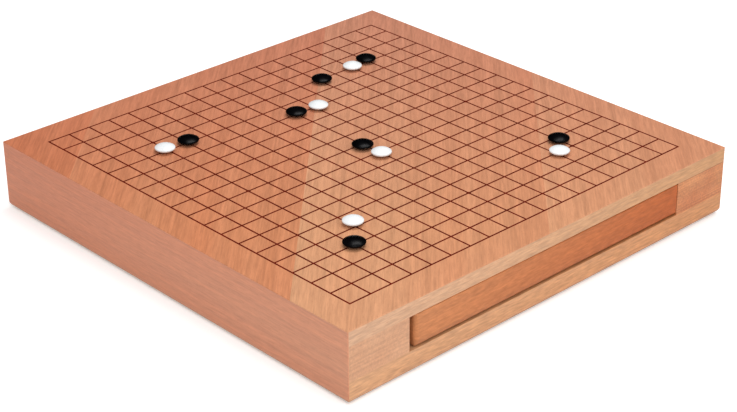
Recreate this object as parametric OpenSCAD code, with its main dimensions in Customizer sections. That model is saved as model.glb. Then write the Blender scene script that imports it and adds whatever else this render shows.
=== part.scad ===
// Go board with a drawer in two opposite sides, and the stones of an opening lying on it.
// Millimetres. +Z is up, the origin is the middle of the underside, the front drawer faces -Y.

/* [Playing grid] */
// Spacing of the lines, both ways
cell = 15.4; // [14:0.1:18]
// Outermost line to the edge of the board
margin = 20.6; // [16:0.1:26]
// Width of a line
line_w = 1.2; // [0.5:0.1:1.6]
// Diameter of a star point
star_d = 2.8; // [2:0.1:4]
// Depth to which lines and star points are scored and filled
ink_depth = 0.2; // [0.1:0.05:0.4]

/* [Layers] */
// Thickness of the bottom panel
bottom_t = 14.8; // [11:0.1:16]
// Height of the side blocks and of the drawer openings
block_h = 21.8; // [21:0.1:28]
// Thickness of the core under the top veneer
core_t = 9; // [7:0.1:12]
// Thickness of the veneer on the top and the sides
veneer_t = 0.6; // [0.5:0.05:1]
// Radius along the lower outer edges
foot_r = 5; // [2:0.5:6]
// Radius to which the top and the upright outer edges are sanded
edge_r = 0.4; // [0.2:0.05:0.5]

/* [Carcass] */
// Width of the frame beside a drawer opening, side veneer included
block_w = 45; // [30:0.5:60]
// Depth of the pale lippings on the edges of the core
lipping_d = 5; // [3:0.5:10]
// Thickness of the rail between the two drawers
rail_t = 12; // [8:0.5:20]

/* [Veneer leaves] */
// Width of a full leaf, across its grain
leaf_w = 142.7; // [130:0.1:160]
// Seam nearest to the middle of the board, measured across the grain
seam_at = -32.2; // [-45:0.1:-20]

/* [Drawers] */
// Thickness of a drawer front
front_t = 10; // [9:0.5:14]
// Radius along the top edge and the right-hand end of a drawer front
front_r = 0.6; // [0.3:0.1:2]
// Radius of its left-hand end, which a fingertip hooks through the gap beside it
finger_r = 2.6; // [0.5:0.1:5]
// Radius of its four corners, seen from the front
corner_r = 1.5; // [0.5:0.5:6]
// Radius of the rounding under which a fingernail pulls the drawer
pull_r = 4; // [4:0.5:10]
// Height of that rounding above the lower edge of the front
pull_h = 3.5; // [2.5:0.5:4]
// How far a closed front stands behind the face of the board
front_recess = 0; // [0:0.1:2]
// Gap between a drawer and the block at its left, seen from the front
left_gap = 4.6; // [0.3:0.1:6]
// Gap between a drawer and the block at its right, seen from the front
right_gap = 0.3; // [0.3:0.1:6]
// Gap under a drawer front
under_gap = 0.4; // [0.3:0.1:2]
// Gap over a drawer front
over_gap = 0.4; // [0.3:0.1:1.5]
// Running clearance under the drawer sides
run_gap = 0.3; // [0.1:0.05:0.5]
// Gap between a closed drawer and the rail
stop_gap = 0.6; // [0.3:0.1:2]
// Height of the drawer sides and back
wall_h = 18.4; // [15:0.1:19]
// Thickness of the drawer sides
wall_t = 6; // [5:0.5:8]
// Thickness of the drawer back
back_t = 6; // [5:0.5:8]
// Back of a drawer to the rear ends of its sides
back_inset = 4; // [2:0.5:8]
// Depth of the rabbets in the front that take the sides
rabbet_d = 5; // [3:0.5:6]
// Depth of the housings in the sides that take the back
housing_d = 2; // [1:0.5:3]
// Thickness of the drawer bottom
floor_t = 3; // [2:0.1:4]
// Lower edge of the sides to the underside of the drawer bottom
floor_up = 2.6; // [2:0.1:4]
// Depth of the grooves that take the drawer bottom
groove_d = 3; // [2:0.5:4]

/* [Stones] */
// Diameter of a white stone
white_d = 12.9; // [10:0.1:14]
// Diameter of a black stone
black_d = 13.8; // [10:0.1:14]
// Height of a stone
stone_h = 5.2; // [4:0.1:7]
// Radius of a stone's rim
rim_r = 0.8; // [0.4:0.1:1.2]
// Clearance between a stone and the veneer under it
seat_gap = 0.1; // [0.05:0.05:0.3]
// White stone 1: place on the grid in cells, column from the left edge and row from the back edge
white_1 = [13.9, 3.15]; // [0:0.05:18]
// White stone 2
white_2 = [10.05, 5.2]; // [0:0.05:18]
// White stone 3
white_3 = [2.85, 4]; // [0:0.05:18]
// White stone 4
white_4 = [14.05, 15.15]; // [0:0.05:18]
// White stone 5
white_5 = [8.85, 10.3]; // [0:0.05:18]
// White stone 6
white_6 = [4.05, 13.8]; // [0:0.05:18]
// Black stone 1
black_1 = [14.9, 2.95]; // [0:0.05:18]
// Black stone 2
black_2 = [12, 3.25]; // [0:0.05:18]
// Black stone 3
black_3 = [8.95, 5.05]; // [0:0.05:18]
// Black stone 4
black_4 = [14.9, 14.35]; // [0:0.05:18]
// Black stone 5
black_5 = [4, 4.05]; // [0:0.05:18]
// Black stone 6
black_6 = [8.8, 9.25]; // [0:0.05:18]
// Black stone 7
black_7 = [2.95, 15.05]; // [0:0.05:18]

/* [Hidden] */
$fn = 96;
// The game is played on 19 lines, with star points on the 4th, 10th and 16th
last_line = 18;
star_lines = [for (k = [1, 3, 5]) k * last_line / 6];
leaf_count = 4;
leaf_count_before_seam = 2;
// The leaves lie across the board from corner to corner
leaf_turn = -45;
// How far a cutter runs past the face that it cuts
over = 1;

grid_half = last_line * cell / 2;
half = grid_half + margin;
top_z = bottom_t + block_h + core_t + veneer_t;
core_z = bottom_t + block_h;
core_half = half - veneer_t;
opening_half = half - block_w;

// A drawer, in the place of the front one, which stands nearer to the block with the smaller gap
drawer_half = opening_half - (left_gap + right_gap) / 2;
drawer_x = (left_gap - right_gap) / 2;
inner_half = drawer_half - wall_t;
front_y = -half + front_recess;
front_back_y = front_y + front_t;
drawer_end_y = -rail_t / 2 - stop_gap;
back_y = drawer_end_y - back_inset - back_t;
front_z = bottom_t + under_gap;
front_h = block_h - under_gap - over_gap;
// The rounding of the left-hand end stops where the rabbet for the drawer side begins
front_end_r = min(finger_r, front_t - rabbet_d);
wall_z = bottom_t + run_gap;
floor_z = wall_z + floor_up;
floor_top_z = floor_z + floor_t;

block_wood = [0.84, 0.64, 0.50];
lipping_wood = [0.87, 0.70, 0.57];
veneer_wood = [0.83, 0.58, 0.43];
side_wood = [0.78, 0.54, 0.43];
drawer_wood = [0.80, 0.50, 0.33];
box_wood = [0.88, 0.76, 0.60];
ink_brown = [0.40, 0.20, 0.13];
stone_white = [0.97, 0.97, 0.95];
stone_black = [0.05, 0.05, 0.06];

// A box between two opposite corners
module block_between(low, high) {
  translate(low) cube(high - low);
}

// The right-hand half of a rectangle on the Y axis from y = 0, with its corner at y = 0 rounded
module eased_half(half_w, depth, r) {
  translate([0, r]) square([half_w, depth - r]);
  square([half_w - r, depth]);
  translate([half_w - r, r]) circle(r);
}

// The whole rectangle, with both corners at y = 0 rounded
module eased_rectangle(half_w, depth, left_r, right_r) {
  mirror([1, 0]) eased_half(half_w, depth, left_r);
  eased_half(half_w, depth, right_r);
}

// A rectangle in the same place, with its corners rounded by r at y = 0 and by far_r at the other side
module eased_all_round(half_w, depth, r, far_r) {
  intersection() {
    eased_rectangle(half_w, depth, r, r);
    translate([0, depth]) mirror([0, 1]) eased_rectangle(half_w, depth, far_r, far_r);
  }
}

// The outside of the whole board across X: upright sides, rounded at the bottom and eased at the top
module outside_across() {
  translate([0, 2 * half, 0]) rotate([90, 0, 0])
    linear_extrude(4 * half) eased_all_round(half, top_z, foot_r, edge_r);
}

// The outside of the whole board, its four upright edges eased as well
module board_outside() {
  intersection() {
    outside_across();
    rotate([0, 0, 90]) outside_across();
    translate([0, -half, 0]) linear_extrude(top_z) eased_all_round(half, 2 * half, edge_r, edge_r);
  }
}

module bottom_panel() {
  color(block_wood) intersection() {
    board_outside();
    block_between([-core_half, -half, 0], [core_half, half, bottom_t]);
  }
}

// A side block, in the place of the right-hand one
module side_block() {
  color(block_wood) block_between([opening_half, -half, bottom_t], [core_half, half, core_z]);
}

module centre_rail() {
  color(block_wood)
    block_between([-opening_half, -rail_t / 2, bottom_t], [opening_half, rail_t / 2, core_z]);
}

module top_core() {
  color(box_wood)
    block_between([-core_half, -half + lipping_d, core_z], [core_half, half - lipping_d, core_z + core_t]);
}

// A lipping on the core, in the place of the front one
module lipping() {
  color(lipping_wood)
    block_between([-core_half, -half, core_z], [core_half, -half + lipping_d, core_z + core_t]);
}

// A side veneer, in the place of the right-hand one
module side_veneer() {
  color(side_wood) intersection() {
    board_outside();
    block_between([core_half, -half, 0], [half, half, core_z + core_t]);
  }
}

// The lines as solids of height h, from z up
module line_bars(z, h) {
  reach = grid_half + line_w / 2;
  for (k = [0 : last_line]) {
    at = k * cell - grid_half;
    translate([-reach, at - line_w / 2, z]) cube([2 * reach, line_w, h]);
    translate([at - line_w / 2, -reach, z]) cube([line_w, 2 * reach, h]);
  }
}

// The star points as solids of height h, from z up
module star_discs(z, h) {
  for (a = star_lines, b = star_lines)
    translate([a * cell - grid_half, b * cell - grid_half, z]) cylinder(d = star_d, h = h);
}

// One leaf of the top veneer, counted from the corner at -X and +Y
module veneer_leaf(number) {
  reach = 2 * half;
  end_seam = seam_at + (number - leaf_count_before_seam) * leaf_w;
  start = number == 1 ? -reach : end_seam - leaf_w;
  end = number == leaf_count ? reach : end_seam;
  color(veneer_wood) difference() {
    intersection() {
      board_outside();
      rotate([0, 0, leaf_turn])
        block_between([start, -reach, top_z - veneer_t], [end, reach, top_z]);
    }
    line_bars(top_z - ink_depth, ink_depth + over);
    star_discs(top_z - ink_depth, ink_depth + over);
  }
}

module grid_lines() {
  color(ink_brown) difference() {
    line_bars(top_z - ink_depth, ink_depth);
    star_discs(top_z - ink_depth - over, ink_depth + 2 * over);
  }
}

module star_points() {
  color(ink_brown) star_discs(top_z - ink_depth, ink_depth);
}

// A drawer front seen from its end: X is the depth behind its face, Y the height above its lower edge
module front_section() {
  intersection() {
    square([front_t, front_h]);
    union() {
      translate([pull_r, 0]) square([front_t, front_h]);
      translate([pull_r, pull_h]) circle(pull_r);
      translate([0, pull_h]) square([front_t, front_h - pull_h - front_r]);
      translate([front_r, pull_h]) square([front_t, front_h - pull_h]);
      translate([front_r, front_h - front_r]) circle(front_r);
    }
  }
}

// The pieces of a drawer, midway between the blocks and in the place of the front one
module drawer_front() {
  color(drawer_wood) difference() {
    intersection() {
      translate([0, front_y, front_z])
        linear_extrude(front_h) eased_rectangle(drawer_half, front_t, front_end_r, front_r);
      translate([0, front_back_y, front_z]) rotate([90, 0, 0])
        linear_extrude(front_t) eased_all_round(drawer_half, front_h, corner_r, corner_r);
      translate([-drawer_half, front_y, front_z]) rotate([90, 0, 90])
        linear_extrude(2 * drawer_half) front_section();
    }
    for (s = [0, 1]) mirror([s, 0, 0])
      block_between([inner_half, front_back_y - rabbet_d, wall_z],
                    [drawer_half + over, front_back_y + over, wall_z + wall_h]);
    block_between([-inner_half - groove_d, front_back_y - groove_d, floor_z],
                  [inner_half + groove_d, front_back_y + over, floor_top_z]);
  }
}

// A drawer side, in the place of the right-hand one
module drawer_side() {
  color(box_wood) difference() {
    block_between([inner_half, front_back_y - rabbet_d, wall_z],
                  [drawer_half, drawer_end_y, wall_z + wall_h]);
    block_between([inner_half - over, front_back_y - rabbet_d - over, floor_z],
                  [inner_half + groove_d, drawer_end_y + over, floor_top_z]);
    block_between([inner_half - over, back_y, floor_z],
                  [inner_half + housing_d, back_y + back_t, wall_z + wall_h + over]);
  }
}

module drawer_back() {
  color(box_wood)
    block_between([-inner_half - housing_d, back_y, floor_top_z],
                  [inner_half + housing_d, back_y + back_t, wall_z + wall_h]);
}

module drawer_bottom() {
  color(box_wood)
    block_between([-inner_half - groove_d, front_back_y - groove_d, floor_z],
                  [inner_half + groove_d, back_y + back_t, floor_top_z]);
}

// A lens of two caps that run smoothly into a round rim, lying at a place on the grid
module stone(place, diameter, shade) {
  rim_x = diameter / 2 - rim_r;
  cap_r = (rim_x * rim_x + stone_h * stone_h / 4 - rim_r * rim_r) / (stone_h - 2 * rim_r);
  cap_drop = cap_r - stone_h / 2;
  cap_edge_x = cap_r * rim_x / (cap_r - rim_r);
  color(shade)
    translate([place[0] * cell - grid_half, grid_half - place[1] * cell, top_z + seat_gap + stone_h / 2])
      rotate_extrude() {
        intersection() {
          translate([0, -cap_drop]) circle(cap_r);
          translate([0, cap_drop]) circle(cap_r);
          translate([0, -stone_h]) square([cap_edge_x, 2 * stone_h]);
        }
        translate([rim_x, 0]) circle(rim_r);
      }
}

// The place of the front drawer's pieces
module at_front() {
  translate([drawer_x, 0, 0]) children();
}

// Half a turn, for the pieces on the back side
module to_back() {
  rotate([0, 0, 180]) children();
}

bottom_panel();
mirror([1, 0, 0]) side_block();  // left_block
side_block();  // right_block
centre_rail();
top_core();
lipping();  // front_lipping
to_back() lipping();  // back_lipping
mirror([1, 0, 0]) side_veneer();  // left_side_veneer
side_veneer();  // right_side_veneer
veneer_leaf(1);  // veneer_leaf_1
veneer_leaf(2);  // veneer_leaf_2
veneer_leaf(3);  // veneer_leaf_3
veneer_leaf(4);  // veneer_leaf_4
grid_lines();
star_points();
at_front() drawer_front();  // front_drawer_front
at_front() mirror([1, 0, 0]) drawer_side();  // front_drawer_left_side
at_front() drawer_side();  // front_drawer_right_side
at_front() drawer_back();  // front_drawer_back
at_front() drawer_bottom();  // front_drawer_bottom
to_back() at_front() drawer_front();  // back_drawer_front
to_back() at_front() mirror([1, 0, 0]) drawer_side();  // back_drawer_left_side
to_back() at_front() drawer_side();  // back_drawer_right_side
to_back() at_front() drawer_back();  // back_drawer_back
to_back() at_front() drawer_bottom();  // back_drawer_bottom
stone(white_1, white_d, stone_white);  // white_stone_1
stone(white_2, white_d, stone_white);  // white_stone_2
stone(white_3, white_d, stone_white);  // white_stone_3
stone(white_4, white_d, stone_white);  // white_stone_4
stone(white_5, white_d, stone_white);  // white_stone_5
stone(white_6, white_d, stone_white);  // white_stone_6
stone(black_1, black_d, stone_black);  // black_stone_1
stone(black_2, black_d, stone_black);  // black_stone_2
stone(black_3, black_d, stone_black);  // black_stone_3
stone(black_4, black_d, stone_black);  // black_stone_4
stone(black_5, black_d, stone_black);  // black_stone_5
stone(black_6, black_d, stone_black);  // black_stone_6
stone(black_7, black_d, stone_black);  // black_stone_7
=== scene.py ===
import math

import bpy
from mathutils import Color, Matrix, Quaternion, Vector


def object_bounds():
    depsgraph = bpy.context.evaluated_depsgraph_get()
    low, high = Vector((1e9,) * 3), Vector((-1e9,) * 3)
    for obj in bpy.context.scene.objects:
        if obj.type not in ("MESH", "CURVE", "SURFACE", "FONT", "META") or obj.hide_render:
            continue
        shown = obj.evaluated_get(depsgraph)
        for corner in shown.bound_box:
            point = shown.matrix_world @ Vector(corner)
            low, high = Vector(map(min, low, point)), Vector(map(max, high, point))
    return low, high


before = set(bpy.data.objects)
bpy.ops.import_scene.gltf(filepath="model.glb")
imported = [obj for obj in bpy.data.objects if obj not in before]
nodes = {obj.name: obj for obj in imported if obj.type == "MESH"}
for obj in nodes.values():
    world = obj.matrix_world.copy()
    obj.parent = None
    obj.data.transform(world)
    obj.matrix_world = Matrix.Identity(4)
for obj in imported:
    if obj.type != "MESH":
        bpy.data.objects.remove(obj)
cadLow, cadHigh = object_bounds()  # the CAD box, before anything is dressed


# Camera

cameraLook = {
    "place": (-0.7342, -0.7901, 0.5645),
    "looksAt": (-0.0239, -0.0311, 0.0231),
    "lens": 93.8,  # mm
    "sensorWidth": 36.0,  # mm
    "roll": -0.38,  # degrees; below zero turns the camera clockwise
}


def makeCamera(look):
    camera = bpy.data.objects.new("camera", bpy.data.cameras.new("camera"))
    bpy.context.scene.collection.objects.link(camera)
    camera.data.sensor_width = look["sensorWidth"]
    camera.data.lens = look["lens"]
    place = Vector(look["place"])
    aim = (Vector(look["looksAt"]) - place).to_track_quat("-Z", "Y")
    camera.location = place
    camera.rotation_mode = "QUATERNION"
    camera.rotation_quaternion = aim @ Quaternion((0, 0, 1), math.radians(look["roll"]))
    bpy.context.scene.camera = camera


makeCamera(cameraLook)
print("camera placed")


# Shorthand for shader nodes

noiseReach = (0.3, 0.7)  # nearly all values of a noise lie between these
noiseRough = 0.55  # weight of the finer detail in a noise
mixFactor, mixFirst, mixSecond, mixResult = 0, 6, 7, 2  # colour sockets of a Mix node, whose names repeat


def tone(hexCode):
    channels = [channel / 255 for channel in bytes.fromhex(hexCode)]
    return (*Color(channels).from_srgb_to_scene_linear(), 1.0)


def newFinish(name):
    material = bpy.data.materials.new(name)
    material.use_nodes = True
    return material, material.node_tree, material.node_tree.nodes["Principled BSDF"]


def dress(material, *pieces):
    for piece in pieces:
        mesh = nodes[piece].data
        mesh.materials.clear()
        mesh.materials.append(material)


def plug(tree, value, socket):
    if isinstance(value, bpy.types.NodeSocket):
        tree.links.new(value, socket)
    else:
        socket.default_value = value


def objectCoords(tree):
    return tree.nodes.new("ShaderNodeTexCoord").outputs["Object"]


def objectAxes(tree):
    split = tree.nodes.new("ShaderNodeSeparateXYZ")
    tree.links.new(objectCoords(tree), split.inputs["Vector"])
    return split.outputs


def stretched(tree, coords, size=(1, 1, 1), turn=0.0, shift=(0, 0, 0)):
    mapping = tree.nodes.new("ShaderNodeMapping")
    mapping.inputs["Location"].default_value = shift
    mapping.inputs["Rotation"].default_value = (0, 0, math.radians(turn))
    mapping.inputs["Scale"].default_value = tuple(1 / s for s in size)
    tree.links.new(coords, mapping.inputs["Vector"])
    return mapping.outputs["Vector"]


def noise(tree, coords, detail, warp=0.0):
    node = tree.nodes.new("ShaderNodeTexNoise")
    node.inputs["Scale"].default_value = 1.0  # the size of the marks comes from stretched()
    node.inputs["Detail"].default_value = detail
    node.inputs["Roughness"].default_value = noiseRough
    node.inputs["Distortion"].default_value = warp
    tree.links.new(coords, node.inputs["Vector"])
    return node.outputs["Fac"]


def ramp(tree, factor, reach, tones):
    node = tree.nodes.new("ShaderNodeValToRGB")
    for stop, place, hexCode in zip(node.color_ramp.elements, reach, tones):
        stop.position = place
        stop.color = tone(hexCode)
    tree.links.new(factor, node.inputs["Fac"])
    return node.outputs["Color"]


def mix(tree, factor, first, second, blend="MIX"):
    node = tree.nodes.new("ShaderNodeMix")
    node.data_type = "RGBA"
    node.blend_type = blend
    plug(tree, factor, node.inputs[mixFactor])
    plug(tree, first, node.inputs[mixFirst])
    plug(tree, second, node.inputs[mixSecond])
    return node.outputs[mixResult]


def shaded(tree, base, shade):
    return mix(tree, 1.0, base, shade, "MULTIPLY")


def calc(tree, operation, first, second):
    node = tree.nodes.new("ShaderNodeMath")
    node.operation = operation
    plug(tree, first, node.inputs[0])
    plug(tree, second, node.inputs[1])
    return node.outputs["Value"]


def spread(tree, value, fromReach, toReach):
    node = tree.nodes.new("ShaderNodeMapRange")
    for name, (low, high) in (("From", fromReach), ("To", toReach)):
        node.inputs[name + " Min"].default_value = low
        node.inputs[name + " Max"].default_value = high
    tree.links.new(value, node.inputs["Value"])
    return node.outputs["Result"]


def swing(tree, value, middle, depth):  # turns a noise into middle - depth to middle + depth
    return spread(tree, value, noiseReach, (middle - depth, middle + depth))


# Floor, sky and lamps

floorLook = {
    "size": 12.0,  # metres
    "tone": (0.93, 0.93, 0.93, 1.0),
    "glow": 0.30,  # a sweep that is lit from behind
    "rough": 0.9,
    "gloss": 0.1,
}

skyLook = {"tone": (1.0, 1.0, 1.0, 1.0), "power": 0.50}

lampLook = {
    "target": (0.0, 0.0, 0.03),
    "lamps": {  # place, length and width, direction of the length, watts
        "keyStrip": ((0.31, 0.02, 1.30), (0.9, 0.3), (0.91, -0.41, -0.23), 8.8),
        "nearLamp": ((-0.50, -0.60, 0.90), (0.8, 0.8), (0.73, -0.68, 0.0), 5.9),
        "frontLamp": ((0.05, -1.10, 0.45), (0.6, 0.4), (1.0, 0.0, 0.0), 1.65),
    },
}


def makeFloor(look):
    half = look["size"] / 2
    corners = [(-half, -half, 0), (half, -half, 0), (half, half, 0), (-half, half, 0)]
    mesh = bpy.data.meshes.new("floor")
    mesh.from_pydata(corners, [], [(0, 1, 2, 3)])
    floor = bpy.data.objects.new("floor", mesh)
    bpy.context.scene.collection.objects.link(floor)
    paper, _, shader = newFinish("floorPaper")
    shader.inputs["Base Color"].default_value = look["tone"]
    shader.inputs["Roughness"].default_value = look["rough"]
    shader.inputs["Specular IOR Level"].default_value = look["gloss"]
    shader.inputs["Emission Color"].default_value = look["tone"]
    shader.inputs["Emission Strength"].default_value = look["glow"]
    mesh.materials.append(paper)


def makeSky(look):
    sky = bpy.data.worlds.new("sky")
    bpy.context.scene.world = sky
    sky.use_nodes = True
    background = sky.node_tree.nodes["Background"]
    background.inputs["Color"].default_value = look["tone"]
    background.inputs["Strength"].default_value = look["power"]
    sky.cycles_visibility.glossy = False  # the room is dark, so polish mirrors only the lamps


def aimed(place, target, along):
    back = (Vector(place) - Vector(target)).normalized()
    side = Vector(along)
    side = (side - back * side.dot(back)).normalized()
    return Matrix((side, back.cross(side), back)).transposed().to_euler()


def hangLamps(look):
    for name, (place, (length, width), along, watts) in look["lamps"].items():
        lamp = bpy.data.objects.new(name, bpy.data.lights.new(name, "AREA"))
        lamp.data.shape = "RECTANGLE"
        lamp.data.size = length
        lamp.data.size_y = width
        lamp.data.energy = watts
        lamp.location = place
        lamp.rotation_euler = aimed(place, look["target"], along)
        bpy.context.scene.collection.objects.link(lamp)


makeFloor(floorLook)
makeSky(skyLook)
hangLamps(lampLook)
view = bpy.context.scene.view_settings
view.view_transform = "Standard"
view.look = "None"
print("studio lit")


# Wood: streaks, fibres and ray flecks that run along the grain

woodLook = {
    "grainTurn": 0.0,  # degrees from X, seen from above
    "bands": (0.9, 0.035, 2.0),  # length and width of each layer's marks, metres, and its finer detail
    "streaks": (0.16, 0.0034, 4.0),
    "rays": (0.009, 0.0013, 2.0),
    "fibres": (0.018, 0.0005, 3.0),
    "flecks": (0.0030, 0.00034, 1.0),
    "fibreDepth": 0.07,  # how far a layer lightens and darkens the wood
    "rayDepth": 0.08,
    "streakDepth": 0.10,
    "fleckDepth": 0.30,  # share of the fleckTone in a fleck
    "fleckCut": (0.62, 0.72),  # values of the noise between which a fleck comes up
    "fleckTone": "a05c38",
    "driftTone": None,  # where given, the wood changes to it towards the end of the driftAxis
    "driftAxis": "X",
    "driftShare": 0.9,
    "foot": 0.0,  # height of the lower edge
    "lowerEdgeShade": None,  # where given: painted shade along the lower edge, the heights above the foot over which it fades out, and its depth
    "rough": 0.48,
    "roughSwing": 0.05,
    "gloss": 0.3,
    "bump": 0.25,
    "bumpDepth": 0.00006,  # metres
}


def grainLayers(tree, look):
    # X of these coordinates runs along the grain
    grain = stretched(tree, objectCoords(tree), turn=-look["grainTurn"], shift=look["start"])
    layers = {}
    for name in ("bands", "streaks", "rays", "fibres", "flecks"):
        length, width, detail = look[name]
        layers[name] = noise(tree, stretched(tree, grain, (length, width, width)), detail)
    return layers


def finishWood(tree, shader, look, layers, base):
    shade = 1.0
    for layer, depth in (("fibres", "fibreDepth"), ("rays", "rayDepth"), ("streaks", "streakDepth")):
        shade = calc(tree, "MULTIPLY", swing(tree, layers[layer], 1, look[depth]), shade)
    flecks = spread(tree, layers["flecks"], look["fleckCut"], (0.0, look["fleckDepth"]))
    colour = mix(tree, flecks, shaded(tree, base, shade), tone(look["fleckTone"]))
    tree.links.new(colour, shader.inputs["Base Color"])
    rough = swing(tree, layers["streaks"], look["rough"], look["roughSwing"])
    tree.links.new(rough, shader.inputs["Roughness"])
    shader.inputs["Specular IOR Level"].default_value = look["gloss"]
    bump = tree.nodes.new("ShaderNodeBump")
    bump.inputs["Strength"].default_value = look["bump"]
    bump.inputs["Distance"].default_value = look["bumpDepth"]
    height = calc(tree, "SUBTRACT", layers["fibres"], flecks)
    tree.links.new(height, bump.inputs["Height"])
    tree.links.new(bump.outputs["Normal"], shader.inputs["Normal"])


def plainWood(name, look):
    material, tree, shader = newFinish(name)
    layers = grainLayers(tree, look)
    axes = objectAxes(tree)
    base = ramp(tree, layers["bands"], noiseReach, (look["deep"], look["pale"]))
    if look["driftTone"]:
        acrossBoard = (cadLow.x, cadHigh.x)  # holds for Y too, because the board is square
        drift = spread(tree, axes[look["driftAxis"]], acrossBoard, (0.0, look["driftShare"]))
        base = mix(tree, drift, base, tone(look["driftTone"]))
    # painted shade: darker towards the lower edge, where the rounding faces down
    if look["lowerEdgeShade"]:
        start, unshaded, depth = look["lowerEdgeShade"]
        heights = (look["foot"] + start, look["foot"] + unshaded)
        base = shaded(tree, base, spread(tree, axes["Z"], heights, (1 - depth, 1.0)))
    finishWood(tree, shader, look, layers, base)
    return material


# Top veneer: four leaves cut one after another from the same log, so their figure repeats

leafLook = {
    **woodLook,
    "grainTurn": 45.0,
    "rays": (0.013, 0.0012, 2.0),
    "rayDepth": 0.11,
    "pale": "c7936d",  # sapwood
    "deep": "bf6e46",  # heartwood
    "towardsHeart": {  # share of heartwood at the first and the last long edge
        "veneer_leaf_1": (0.95, 0.95),
        "veneer_leaf_2": (0.56, 0.70),
        "veneer_leaf_3": (0.02, 0.55),
        "veneer_leaf_4": (0.12, 0.50),
    },
    "bandShare": 0.12,  # how far a band moves that share
    "wholeLeaf": "veneer_leaf_3",  # has its full width; the outer leaves end at a corner of the board
    "farShadeTone": "b97264",  # painted shade and sheen: the top turns darker and pinker towards the back corner
    "farShadeShare": 0.55,
    "slip": 0.023,  # metres along the grain from one leaf to the next
}
diagonal = math.sqrt(2)  # X - Y grows this much faster than the distance across the grain


def acrossGrain(leaf):
    places = [(v.co.x - v.co.y) / diagonal for v in nodes[leaf].data.vertices]
    return min(places), max(places)


def leafVeneer(leaf, look, number, leafStart, leafEnd):
    look = {**look, "start": (number * look["slip"], leafEnd, 0.0)}
    material, tree, shader = newFinish("topVeneer" + str(number))
    layers = grainLayers(tree, look)
    axes = objectAxes(tree)
    across = calc(tree, "SUBTRACT", axes["X"], axes["Y"])
    along = calc(tree, "ADD", axes["X"], axes["Y"])
    drift = spread(tree, across, (leafStart * diagonal, leafEnd * diagonal), look["towardsHeart"][leaf])
    share = calc(tree, "ADD", drift, swing(tree, layers["bands"], 0, look["bandShare"]))
    base = ramp(tree, share, (0, 1), (look["pale"], look["deep"]))
    farCorner = 2 * cadHigh.x  # X + Y there
    # painted shade and sheen, growing towards the back corner
    paintedFarShade = spread(tree, along, (cadLow.x, farCorner), (0.0, look["farShadeShare"]))
    finishWood(tree, shader, look, layers, mix(tree, paintedFarShade, base, tone(look["farShadeTone"])))
    return material


def dressTop(look):
    leaves = list(look["towardsHeart"])
    whole = leaves.index(look["wholeLeaf"])
    seam, nextSeam = acrossGrain(look["wholeLeaf"])
    width = nextSeam - seam
    for number, leaf in enumerate(leaves):
        leafStart = seam + (number - whole) * width
        dress(leafVeneer(leaf, look, number, leafStart, leafStart + width), leaf)


dressTop(leafLook)
print("top veneered")


# Sides, lippings, bottom and core

sideLook = {
    **woodLook,
    "grainTurn": 90.0,
    "start": (3.1, 0.7, 0.2),  # where in the log the piece was cut
    "deep": "be7d5e",
    "pale": "c28767",
    "driftAxis": "Y",
    "driftTone": "bd6b4a",
    "driftShare": 0.6,
    "streakDepth": 0.08,
    # painted shade along the downward-facing foot rounding
    "lowerEdgeShade": (0.0005, 0.004, 0.4),
}

lippingLook = {
    **woodLook,
    "start": (1.3, 2.2, 0.4),
    "deep": "bc9171",
    "pale": "c19879",
    "driftTone": "ba8758",
    "rayDepth": 0.15,
}

bottomLook = {
    **woodLook,
    "start": (5.0, 1.9, 0.6),
    "deep": "bf8d65",
    "pale": "c5966f",
    "driftTone": "ba7d4d",
    "rayDepth": 0.20,
    # painted shade along the downward-facing foot rounding
    "lowerEdgeShade": (0.0005, 0.004, 0.4),
}

coreLook = {**woodLook, "start": (4.2, 5.3, 0.1), "deep": "be9975", "pale": "ccaa86"}

dress(plainWood("sideVeneer", sideLook), "left_side_veneer", "right_side_veneer")
dress(plainWood("lippingWood", lippingLook), "front_lipping", "back_lipping")
dress(plainWood("bottomWood", bottomLook), "bottom_panel", "centre_rail")
dress(plainWood("coreWood", coreLook), "top_core")
print("sides, lippings, bottom and core dressed")


# Blocks: end grain, with growth rings, at both ends of the drawers

blockLook = {
    **woodLook,
    "grainTurn": 90.0,
    "fibreDepth": 0.03,
    "rayDepth": 0.10,
    "streakDepth": 0.04,
    "fleckDepth": 0.12,
    "rings": (0.16, 1.0, 0.0016),  # reach of a growth ring along X, Y and Z, metres
    "ringDetail": 3.0,
    "ringWarp": 0.3,
    "ringDepth": 0.12,
    "glueLine": None,  # where given: how far under the top its shade starts and is full, and its depth
}

leftBlockLook = {**blockLook, "start": (2.0, 1.0, 3.0), "deep": "bc8a68", "pale": "c19270"}

rightBlockLook = {
    **blockLook,
    "start": (1.2, 4.0, 2.2),
    "deep": "b16a3f",
    "pale": "c58656",
    "rayDepth": 0.15,
    "ringDepth": 0.22,
    "glueLine": (0.0010, 0.0003, 0.35),
}


def endGrainWood(name, look, block):
    material, tree, shader = newFinish(name)
    layers = grainLayers(tree, look)
    base = ramp(tree, layers["bands"], noiseReach, (look["deep"], look["pale"]))
    ringCoords = stretched(tree, objectCoords(tree), look["rings"], shift=look["start"])
    rings = noise(tree, ringCoords, look["ringDetail"], look["ringWarp"])
    shade = swing(tree, rings, 1, -look["ringDepth"])
    if look["glueLine"]:
        start, full, depth = look["glueLine"]
        top = max(v.co.z for v in nodes[block].data.vertices)
        joint = spread(tree, objectAxes(tree)["Z"], (top - start, top - full), (1.0, 1 - depth))
        shade = calc(tree, "MULTIPLY", shade, joint)
    finishWood(tree, shader, look, layers, shaded(tree, base, shade))
    return material


dress(endGrainWood("leftBlockWood", leftBlockLook, "left_block"), "left_block")
dress(endGrainWood("rightBlockWood", rightBlockLook, "right_block"), "right_block")
print("blocks dressed")


# Drawers

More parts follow.
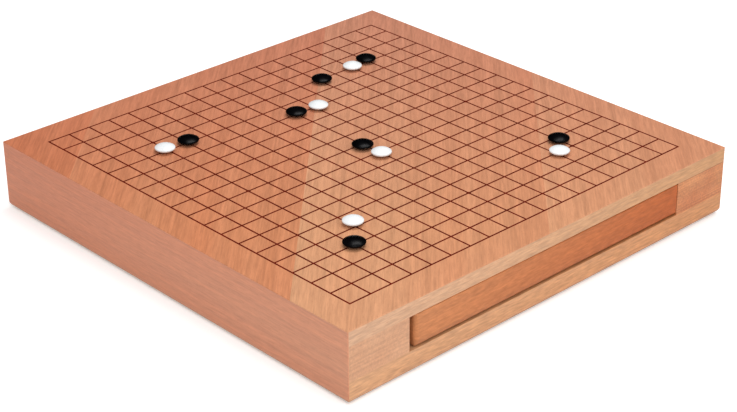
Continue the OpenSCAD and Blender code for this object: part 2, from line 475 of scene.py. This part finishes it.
drawerFrontLook = {
    **woodLook,
    "start": (2.7, 4.4, 0.9),
    "deep": "b8794f",
    "pale": "be8156",
    "driftTone": "a0440a",
    "rays": (0.006, 0.0015, 2.0),
    "rayDepth": 0.14,
    "gloss": 0.12,
    "foot": min(v.co.z for v in nodes["front_drawer_front"].data.vertices),
    # painted shade on the rounded lower edge of the front, which faces down
    "lowerEdgeShade": (0.0, 0.0053, 0.2),
}

boxLook = {**woodLook, "grainTurn": 90.0, "start": (0.4, 3.6, 1.2), "deep": "cfae8b", "pale": "d9bd9b"}

plyLook = {**woodLook, "start": (6.1, 0.3, 2.0), "deep": "d0af88", "pale": "dbbf9d"}

drawerFrontWood = plainWood("drawerFrontWood", drawerFrontLook)
boxWood = plainWood("drawerBoxWood", boxLook)
floorPly = plainWood("drawerFloorPly", plyLook)
for drawer in ("front_drawer_", "back_drawer_"):
    dress(drawerFrontWood, drawer + "front")
    dress(boxWood, drawer + "left_side", drawer + "right_side", drawer + "back")
    dress(floorPly, drawer + "bottom")
print("drawers dressed")


# Ink of the lines and star points, and stones: both are faintly mottled

inkLook = {
    "deep": "521206",
    "pale": "6a1c0a",
    "patch": 0.006,  # metres
    "detail": 3.0,
    "rough": 0.6,
    "roughSwing": 0.08,
    "gloss": 0.03,
}

stoneLook = {
    "white": {
        "deep": "dfe2e4",
        "pale": "e9ebec",
        "patch": 0.006,
        "detail": 4.0,
        "rough": 0.25,
        "roughSwing": 0.04,
        "gloss": 0.4,
    },
    "black": {
        "deep": "030304",
        "pale": "08080a",
        "patch": 0.004,
        "detail": 4.0,
        "rough": 0.28,
        "roughSwing": 0.04,
        "gloss": 0.08,
    },
}


def mottled(name, look):
    material, tree, shader = newFinish(name)
    patchSize = (look["patch"],) * 3
    patches = noise(tree, stretched(tree, objectCoords(tree), patchSize), look["detail"])
    colour = ramp(tree, patches, noiseReach, (look["deep"], look["pale"]))
    tree.links.new(colour, shader.inputs["Base Color"])
    rough = swing(tree, patches, look["rough"], look["roughSwing"])
    tree.links.new(rough, shader.inputs["Roughness"])
    shader.inputs["Specular IOR Level"].default_value = look["gloss"]
    return material


dress(mottled("lineInk", inkLook), "grid_lines", "star_points")
for colour, look in stoneLook.items():
    stones = [node for node in nodes if node.startswith(colour + "_stone_")]
    dress(mottled(colour + "Stone", look), *stones)
print("lines inked, stones polished")
